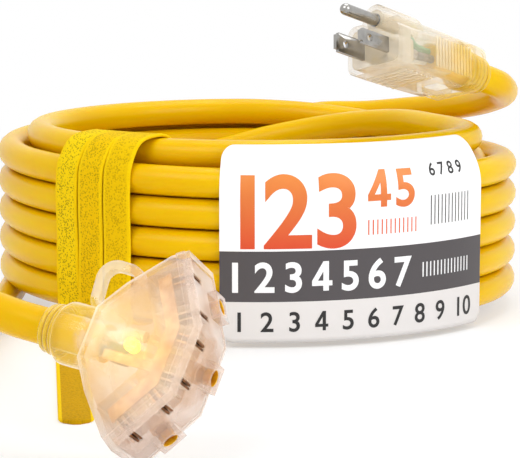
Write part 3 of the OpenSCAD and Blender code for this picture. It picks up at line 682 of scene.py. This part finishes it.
# %% Strap route
strap_w, strap_t, strap_angle, strap_wraps, side_gap = 12.6, 1.3, 228, 3, 0.4
tail_runs = (160, 120, 80, 40, 16, 9)  # guide points on the floor, by their way to the coil
joins_at = 3                           # the point of the section that the free end runs up to
soft = 0.3                             # how near a soft piece lies to the cord
strap_out, strap_in = outer_r + cord_d / 2 + soft, inner_r - cord_d / 2 - soft
strap_row = top_z - pitch * (strap_angle + 14 - 90) / 360
strap_low = strap_row - 4 * pitch - cord_d / 2 - soft
strap_top = inner_top + cord_d / 2 + soft
shoulder = strap_row + pitch * 0.2
section = np.array([
    [strap_out - 2, strap_low], [strap_out - 0.3, strap_low + 1.2], [strap_out, strap_low + 3.5],
    [strap_out, (strap_low + shoulder) / 2], [strap_out, shoulder - 4],
    [strap_out - 0.5, shoulder + 0.5], [strap_out - 2.2, shoulder + 4.2],
    [strap_out - 7, strap_top - 2.2], [inner_r + 3, strap_top], [inner_r - 1.5, strap_top],
    [strap_in + 1, strap_top - 2.8], [strap_in, strap_top - 6.5],
    [strap_in, (strap_low + strap_top) / 2], [strap_in, strap_low + 3.5],
    [strap_in + 0.3, strap_low + 1.2], [strap_in + 2, strap_low]])
step_deg = math.degrees((strap_w + side_gap) / strap_out)
print("strap turns step by", round(step_deg, 2), "degrees")


# %% Strap's guide points
def strap_frame():
    """Middle points, width directions and outward normals of the strap, from its free end
    on the floor, up the outside and strap_wraps times round. On the floor the strap turns
    from lying flat to standing against the coil; round the bundle its normal is square to
    the line through a point's two neighbours in the section."""
    count = len(section)
    middle, side, out = [], [], []
    before, after = np.roll(section, 1, 0), np.roll(section, -1, 0)
    run = (after - before) / np.linalg.norm(after - before, axis=1)[:, None]
    tail = np.array([0.1, -1, 0]) / math.hypot(0.1, 1)
    tail_side = np.array([-tail[1], tail[0], 0])
    first = np.radians(strap_angle)
    foot = np.array([math.cos(first), math.sin(first), 0]) * strap_out
    here = np.array([-math.sin(first), math.cos(first), 0])
    for s in tail_runs:
        turn = tail_side if s > 20 else tail_side + (0.4 if s > 12 else 1) * here
        lift = np.array([0, 0, 1.0]) - (0.5 * tail if s < 10 else 0)
        middle.append(foot + tail * s + [0, 0, clear_of_floor + (1.2 if s < 10 else 0)])
        side.append(turn / np.linalg.norm(turn))
        out.append(lift / np.linalg.norm(lift))
    for wrap in range(strap_wraps):
        for k in range(joins_at if wrap == 0 else 0, count):
            a = np.radians(strap_angle + step_deg * (wrap + float(ease((k - 6) / 8))))
            rad = np.array([math.cos(a), math.sin(a), 0])
            middle.append(rad * section[k, 0] + [0, 0, section[k, 1]])
            side.append([-math.sin(a), math.cos(a), 0])
            out.append(rad * run[k, 1] + [0, 0, -run[k, 0]])
    return np.array(middle), np.array(side), np.array(out)


middle, side, out = strap_frame()
knots = lengths_along(middle)
print("strap has", len(knots), "guide points")


# %% Strap surface: its section carried along the guide points
def woven_profile(w, t):
    """Across the strap: a flat strip of width w and thickness t, with half circles of 9
    points as its edges."""
    a = np.radians(np.linspace(-90, 90, 9))
    right = np.c_[w / 2 - t / 2 + t / 2 * np.cos(a), t / 2 + t / 2 * np.sin(a)]
    return np.concatenate([right, right[::-1] * [-1, 1]])[::-1]


strap_step = 2.0
guides = smooth_line(np.c_[middle, side, out], strap_step)
middle, side, out = guides[:, :3], guides[:, 3:6], guides[:, 6:]
side /= np.linalg.norm(side, axis=1)[:, None]
out -= (out * side).sum(1)[:, None] * side
out /= np.linalg.norm(out, axis=1)[:, None]
along = lengths_along(middle)
end_round = np.sqrt(np.clip(1 - (1 - np.clip(along / (strap_w / 2), 0.02, 1)) ** 2, 0, 1))
profile = woven_profile(strap_w, strap_t)
across = profile[None, :, 0] * end_round[:, None]
strap_points = (middle[:, None] + across[..., None] * side[:, None]
                + profile[None, :, 1, None] * out[:, None]) + coil_at
strap_points[..., 2] = np.maximum(strap_points[..., 2], clear_of_floor)
strap_len = float(along[-1])
strap_uv = np.stack([np.broadcast_to(along[:, None], across.shape), across], -1)
strap = grid_object("tie_strap_woven", strap_points, strap_uv)
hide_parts("tie_strap")
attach(strap, "root")
print("strap is", round(strap_len), "mm long")

# %% Where each turn of the strap starts, along its length
turn_marks = [float(knots[len(tail_runs) - 1])]
turn_marks += [float(knots[len(tail_runs) - joins_at + wrap * len(section)])
               for wrap in range(1, strap_wraps)]
print("strap turns start at", [round(v) for v in turn_marks], "mm")

# %% [markdown]
# ## The strap's finish
# The loop side of such a strap is napped: thousands of tiny nylon loops with shaded gaps
# between them. Loops as real curves would cost more than the whole object, so a cell pattern
# on the flat map stands for them: each cell is a gap, painted darker as painted shade, and
# its rim the loops round it, a little coarser than life so that they show. The free end and
# each turn of the strap have their own two yellows. A plain woven rim runs along both edges.

# %% Strap fabric: napped loops in two yellows, with a woven edge
loop_mm, patch_mm, rim_from, rim_full = 0.85, 7, 1.5, 1.2
loop_from, gap_from = 0.62, 0.44  # a point's distance from its cell's middle, with some noise
fabric, tree, shader = material("hook_and_loop_nylon", {
    "Roughness": 0.85, "Specular IOR Level": 0.05, "Sheen Weight": 0.03})
place = node(tree, "TexCoord").outputs["Object"]
flat = node(tree, "UVMap", uv_map="flat_mm")
axes = node(tree, "SeparateXYZ", {"Vector": flat.outputs["UV"]})
loops = node(tree, "TexVoronoi", {"Vector": flat.outputs["UV"], "Scale": 1 / loop_mm})
drift = node(tree, "TexNoise", {"Vector": place, "Scale": per_metre(patch_mm), "Detail": 3.0})
mixed = node(tree, "Math", {
    0: drift.outputs["Fac"], 1: 0.3, 2: loops.outputs["Distance"]}, operation="MULTIPLY_ADD")
# The gaps between the loops are painted darker than the loops: painted shade.
gap_shade = node(tree, "MapRange", {
    "Value": mixed.outputs[0], "From Min": loop_from, "From Max": gap_from})
share = node(tree, "MapRange", {"Value": axes.outputs["X"], "From Max": strap_len})
by_turn = []
for colours in (("#C89A04", "#F4D20E", "#ECC205", "#EAC206"),    # loops: free end, three turns
                ("#B48C04", "#B4960C", "#C29E06", "#CCA404")):   # gaps, likewise
    steps = node(tree, "ValToRGB", {"Fac": share.outputs["Result"]})
    steps.color_ramp.interpolation = "CONSTANT"
    marks = steps.color_ramp.elements
    marks[1].position = turn_marks[0] / strap_len
    for mark in turn_marks[1:]:
        marks.new(mark / strap_len)
    for mark, colour in zip(marks, colours):
        mark.color = linear(colour)
    by_turn.append(steps.outputs["Color"])
nap = node(tree, "Mix", {
    "Factor": gap_shade.outputs["Result"], 6: by_turn[0], 7: by_turn[1]}, data_type="RGBA")
off_middle = node(tree, "Math", {0: axes.outputs["Y"]}, operation="ABSOLUTE")
rim = node(tree, "MapRange", {"Value": off_middle.outputs[0], "From Min": strap_w / 2 - rim_from,
                              "From Max": strap_w / 2 - rim_full})
tint = node(tree, "Mix", {
    "Factor": rim.outputs["Result"], 6: nap.outputs[2], 7: linear("#F2CC06")}, data_type="RGBA")
tree.links.new(tint.outputs[2], shader.inputs["Base Color"])

# %% Strap relief: each loop stands up by up to 0.3 mm
bump = node(tree, "Bump", {
    "Height": loops.outputs["Distance"], "Distance": 0.3 * MM, "Strength": 0.9})
tree.links.new(bump.outputs["Normal"], shader.inputs["Normal"])
strap.data.materials.append(fabric)
print("strap's loops are", loop_mm, "mm wide")

# %% [markdown]
# ## Printed wrap
# A stiff printed card is bent round the coil's front, so it is a grid in length and
# height: the length runs round the coil, and the top leans in over the highest turn. A
# flat card with a bend modifier would need the same numbers, and couldn't lean.

# %% Wrap surface
label_len, label_h, label_t, label_angle, corner = 122.0, 78.0, 0.6, 293, 5.0
label_r, label_low = outer_r + cord_d / 2 + soft, 2.3
lean_from, lean_by = strap_row - 6, 42


def on_wrap(x, y, offset):
    """The place on the wrap of a point x along it and y above its lower edge: on a cylinder
    that leans in by the square of the height over lean_from, divided by lean_by."""
    a = np.radians(label_angle) + (x - label_len / 2) / label_r
    z = label_low + y
    r = label_r + offset - np.maximum(0, z - lean_from) ** 2 / lean_by
    return np.stack([r * np.cos(a), r * np.sin(a), z], -1) + coil_at


# %% Wrap mesh
# Lengths lie closer together near both ends, and each column of points is shorter there by
# the rounded corner's circle.
e = label_len * (1 - np.cos(np.linspace(0, math.pi, 90))) / 2
near = np.minimum(np.minimum(e, label_len - e), corner)
cut = corner - np.sqrt(corner**2 - (corner - near) ** 2)
y = cut[:, None] + (label_h - 2 * cut[:, None]) * np.linspace(0, 1, 40)
x = np.broadcast_to(e[:, None], y.shape)
back, face, flat_mm = on_wrap(x, y, 0.0), on_wrap(x, y, label_t), np.stack([x, y], -1)
label = grid_object("printed_wrap", np.concatenate([back, face[:, ::-1]], axis=1),
                    np.concatenate([flat_mm, flat_mm[:, ::-1]], axis=1))
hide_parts("label")
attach(label, "root")

# %% Printed card: smooth coated paper, in three zones with plain ticks
foot_top, band_top, tick_step, tick_wide = 16.4, 36.7, 2.0, 0.6
card, tree, shader = material("printed_card", {"Roughness": 0.4})
flat = node(tree, "UVMap", uv_map="flat_mm")
axes = node(tree, "SeparateXYZ", {"Vector": flat.outputs["UV"]})
right, up = axes.outputs["X"], axes.outputs["Y"]
saw = node(tree, "Math", {0: right, 1: tick_step}, operation="MODULO").outputs[0]


def inside(*ranges):
    """1 where each value lies between its low and its high: the least of all comparisons,
    each of which gives 1 or 0."""
    tests = [node(tree, "Math", {0: value, 1: limit}, operation=operation)
             for value, low, high in ranges
             for operation, limit in (("GREATER_THAN", low), ("LESS_THAN", high))]
    least = tests[0]
    for test in tests[1:]:
        least = node(tree, "Math", {0: least.outputs[0], 1: test.outputs[0]}, operation="MINIMUM")
    return least.outputs[0]


tick = (saw, -1, tick_wide)
# The foot zone's light grey is painted shade along the card's foot; the dark band and the marks
# above it are print.
coats = (("#DFDBD9", [(up, -5, foot_top)]), ("#4A4547", [(up, foot_top, band_top)]),
         ("#DA561E", [tick, (up, 42, 48), (right, 60, 84)]),
         ("#3A3638", [tick, (up, 44, 56), (right, 90, 113)]),
         ("#F6F6F7", [tick, (up, 23, 29), (right, 86, 113)]))
paint = linear("#FAFAFB")
for colour, ranges in coats:
    paint = node(tree, "Mix", {
        "Factor": inside(*ranges), 6: paint, 7: linear(colour)}, data_type="RGBA").outputs[2]
tree.links.new(paint, shader.inputs["Base Color"])
bumped(tree, shader, node(tree, "TexCoord").outputs["Object"], 0.6, 0.02)
label.data.materials.append(card)
print("card has", len(coats), "coats of print")

# %% [markdown]
# ## Printed numbers
# Plain numbers stand in each zone of the card. An image could carry them, but outlines stay
# sharp at any size. A number is drawn flat in the built-in font, cut into narrow strips so
# that it can bend, and laid a hair's breadth above the card by the wrap's own formula.


# %% Inks: flat and even on coated card, a little duller than the card
def ink(name, colour, top):
    """Printing ink that runs from colour at 40 mm above the floor to top at 68 mm."""
    made, tree, shader = material(name, {"Roughness": 0.42})
    place = node(tree, "TexCoord").outputs["Object"]
    height = node(tree, "SeparateXYZ", {"Vector": place})
    rise = node(tree, "MapRange", {
        "Value": height.outputs["Z"], "From Min": 40 * MM, "From Max": 68 * MM})
    mix = node(tree, "Mix", {
        "Factor": rise.outputs["Result"], 6: linear(colour), 7: linear(top)}, data_type="RGBA")
    tree.links.new(mix.outputs[2], shader.inputs["Base Color"])
    bumped(tree, shader, place, 0.6, 0.02)
    return made


orange_ink = ink("orange_ink", "#D6461A", "#E28438")
white_ink = ink("white_ink", "#F6F6F7", "#F6F6F7")
dark_ink = ink("dark_ink", "#1C1A1A", "#1C1A1A")
print("inks:", orange_ink.name, white_ink.name, dark_ink.name)


# %% Outlines of the numbers
def drawn_four(name, height, bolder):
    """The number 4 from a stem, a bar and a slanting stroke, each bolder on both sides, in
    shares of its height: the font's own 4 loses its hole when it is made bolder."""
    left, right, low, high = 0.4 - bolder, 0.53 + bolder, 0.2 - bolder, 0.31 + bolder
    start, end, top = 0.02 - bolder, 0.65 + bolder, 0.96 + bolder
    steep = (top - high) / (left - start)
    shift = (0.11 + 2 * bolder) * math.hypot(1, steep) / steep
    notch = top - shift * steep
    points = np.array([[left, 0], [right, 0], [right, low], [left, low], [right, high],
                       [left, high], [left, notch], [right, notch], [left, top], [right, top],
                       [end, low], [end, high], [start, low], [start, high],
                       [start + shift, high]]) * height
    mesh = bpy.data.meshes.new(name)
    mesh.from_pydata(np.c_[points, np.zeros(len(points))].tolist(), [], [
        [0, 1, 2, 3], [3, 2, 4, 5], [5, 4, 7, 6], [6, 7, 9, 8], [2, 10, 11, 4],
        [12, 3, 5, 14, 13], [13, 14, 6, 8]])
    return mesh


# %% A number printed on the wrap
plain_bolder, thick_bolder = 0.02, 0.03      # shares of a number's height
capital_share, strip_mm, ink_lift = 0.72, 1.5, 0.08


def printed(name, body, x, y, height, finish, bolder=thick_bolder):
    """Numbers with their lower left corner at x, y on the wrap, cut into strips of strip_mm
    both ways and lifted by ink_lift."""
    if body == "4":
        mesh = drawn_four(name, height, bolder)
    else:
        letters = bpy.data.curves.new(name, "FONT")
        letters.body, letters.size = body, height / capital_share
        letters.offset = bolder * height
        drawn = linked(name, letters)
        bpy.context.view_layer.update()
        mesh = bpy.data.meshes.new_from_object(drawn)
        bpy.data.objects.remove(drawn)
    work = bmesh.new()
    work.from_mesh(mesh)
    width = max(v.co.x for v in work.verts)
    for normal, far in ((Vector((1, 0, 0)), width), (Vector((0, 1, 0)), height)):
        for cut_at in np.arange(strip_mm, far, strip_mm):
            bmesh.ops.bisect_plane(work, geom=work.verts[:] + work.edges[:] + work.faces[:],
                                   plane_co=normal * float(cut_at), plane_no=normal)
    work.to_mesh(mesh)
    work.free()
    points = np.zeros(len(mesh.vertices) * 3)
    mesh.vertices.foreach_get("co", points)
    points = points.reshape(-1, 3)
    placed = on_wrap(points[:, 0] + x, points[:, 1] + y, label_t + ink_lift) * MM
    mesh.vertices.foreach_set("co", placed.ravel())
    mesh.update()
    made = linked(name, mesh)
    made.data.materials.append(finish)
    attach(made, "root")
    print(name, "is", round(width, 1), "mm wide")


# %% Numbers of the three zones
for n, x in ((1, 1), (2, 17), (3, 37)):
    printed(f"large_number_{n}", str(n), x, 38.5, 29, orange_ink)
for n, x in ((4, 60), (5, 72)):
    printed(f"raised_number_{n}", str(n), x, 53, 15, orange_ink)
printed("small_numbers", "6 7 8 9", 90, 64, 5, dark_ink, plain_bolder)
for n in range(1, 8):
    printed(f"band_number_{n}", str(n), 2 + 11.6 * (n - 1), 20.5, 12, white_ink)
for n in range(1, 11):
    printed(f"foot_number_{n}", str(n), 5 + 11 * (n - 1), 4.5, 8, dark_ink, plain_bolder)

# %% [markdown]
# ## Floor and light
# A product stands on a white sweep of paper. Here a flat pale floor catches the shadows
# near the object and fades into pure white further out, so no horizon shows. The fade is
# seen only by the camera, by gloss and through clear plastic, and doesn't light the object.

# %% Floor of pale paper, matt
fade_from, fade_full, white_near = 0.12, 0.42, 0.45  # metres, and the share of white near by
floor_mesh = bpy.data.meshes.new("floor")
floor_mesh.from_pydata([(-6, -6, 0), (6, -6, 0), (6, 6, 0), (-6, 6, 0)], [], [(0, 1, 2, 3)])
floor = linked("floor", floor_mesh)
paper, tree, shader = material("pale_floor", {"Roughness": 0.6})
place = mottled(tree, shader, ("#FAFAFA", "#FCFCFC"), 900)


def seen_directly():
    """1 for rays from the camera, off gloss and through clear plastic, else 0: the greatest
    of the three."""
    path = node(tree, "LightPath")
    seen = node(tree, "Math", {
        0: path.outputs["Is Camera Ray"], 1: path.outputs["Is Glossy Ray"]}, operation="MAXIMUM")
    return node(tree, "Math", {0: seen.outputs[0], 1: path.outputs["Is Transmission Ray"]},
                operation="MAXIMUM").outputs[0]


away = node(tree, "VectorMath", {0: place}, operation="LENGTH")
fade = node(tree, "MapRange", {"Value": away.outputs["Value"], "From Min": fade_from,
                               "From Max": fade_full, "To Min": white_near})
fade = node(tree, "Math", {0: fade.outputs["Result"], 1: seen_directly()}, operation="MULTIPLY")
white = node(tree, "Emission", {"Color": linear("#FFFFFF"), "Strength": 1.0})
faded = node(tree, "MixShader", {0: fade.outputs[0], 1: shader.outputs[0], 2: white.outputs[0]})
tree.links.new(faded.outputs[0], tree.nodes["Material Output"].inputs["Surface"])
floor_mesh.materials.append(paper)
print("floor is white from", fade_full, "m")

# %% World: white to look at, half as bright as a light
world = bpy.data.worlds.new("pale_world")
bpy.context.scene.world = world
world.use_nodes = True
tree = world.node_tree
plain = tree.nodes["Background"]
plain.inputs["Color"].default_value = linear("#FFFFFF")
plain.inputs["Strength"].default_value = 0.5
bright = node(tree, "Background", {"Color": linear("#FFFFFF"), "Strength": 1.0})
both_worlds = node(tree, "MixShader", {
    0: seen_directly(), 1: plain.outputs[0], 2: bright.outputs[0]})
tree.links.new(both_worlds.outputs[0], tree.nodes["World Output"].inputs["Surface"])
print("world lights with strength", plain.inputs["Strength"].default_value)

# %% [markdown]
# Three large soft lamps light it: the key from the front left, a fill from the right that
# keeps its shaded side open, and one from behind that draws the upper edges of the turns.


# %% Lamps
def soft_lamp(name, at, size, watts):
    """A square area lamp of size metres that faces the object, a little in front of the
    coil's middle."""
    data = bpy.data.lights.new(name, "AREA")
    data.size, data.energy = size, watts
    made = linked(name, data)
    made.location = at
    aim = (coil_at * MM - np.array(at)) + [0, -0.1, 0.05]
    made.rotation_euler = Vector(aim).to_track_quat("-Z", "Y").to_euler()
    print(name, "lamp of", watts, "W at", at)


soft_lamp("key", (-0.7, -0.9, 1.3), 0.9, 11)
soft_lamp("fill", (1.2, -0.7, 0.8), 1.0, 10)
soft_lamp("top", (0.2, 0.5, 1.5), 1.0, 9)
bpy.context.scene.view_settings.view_transform = "Standard"

# %% Scene brought up to date
bpy.context.view_layer.update()
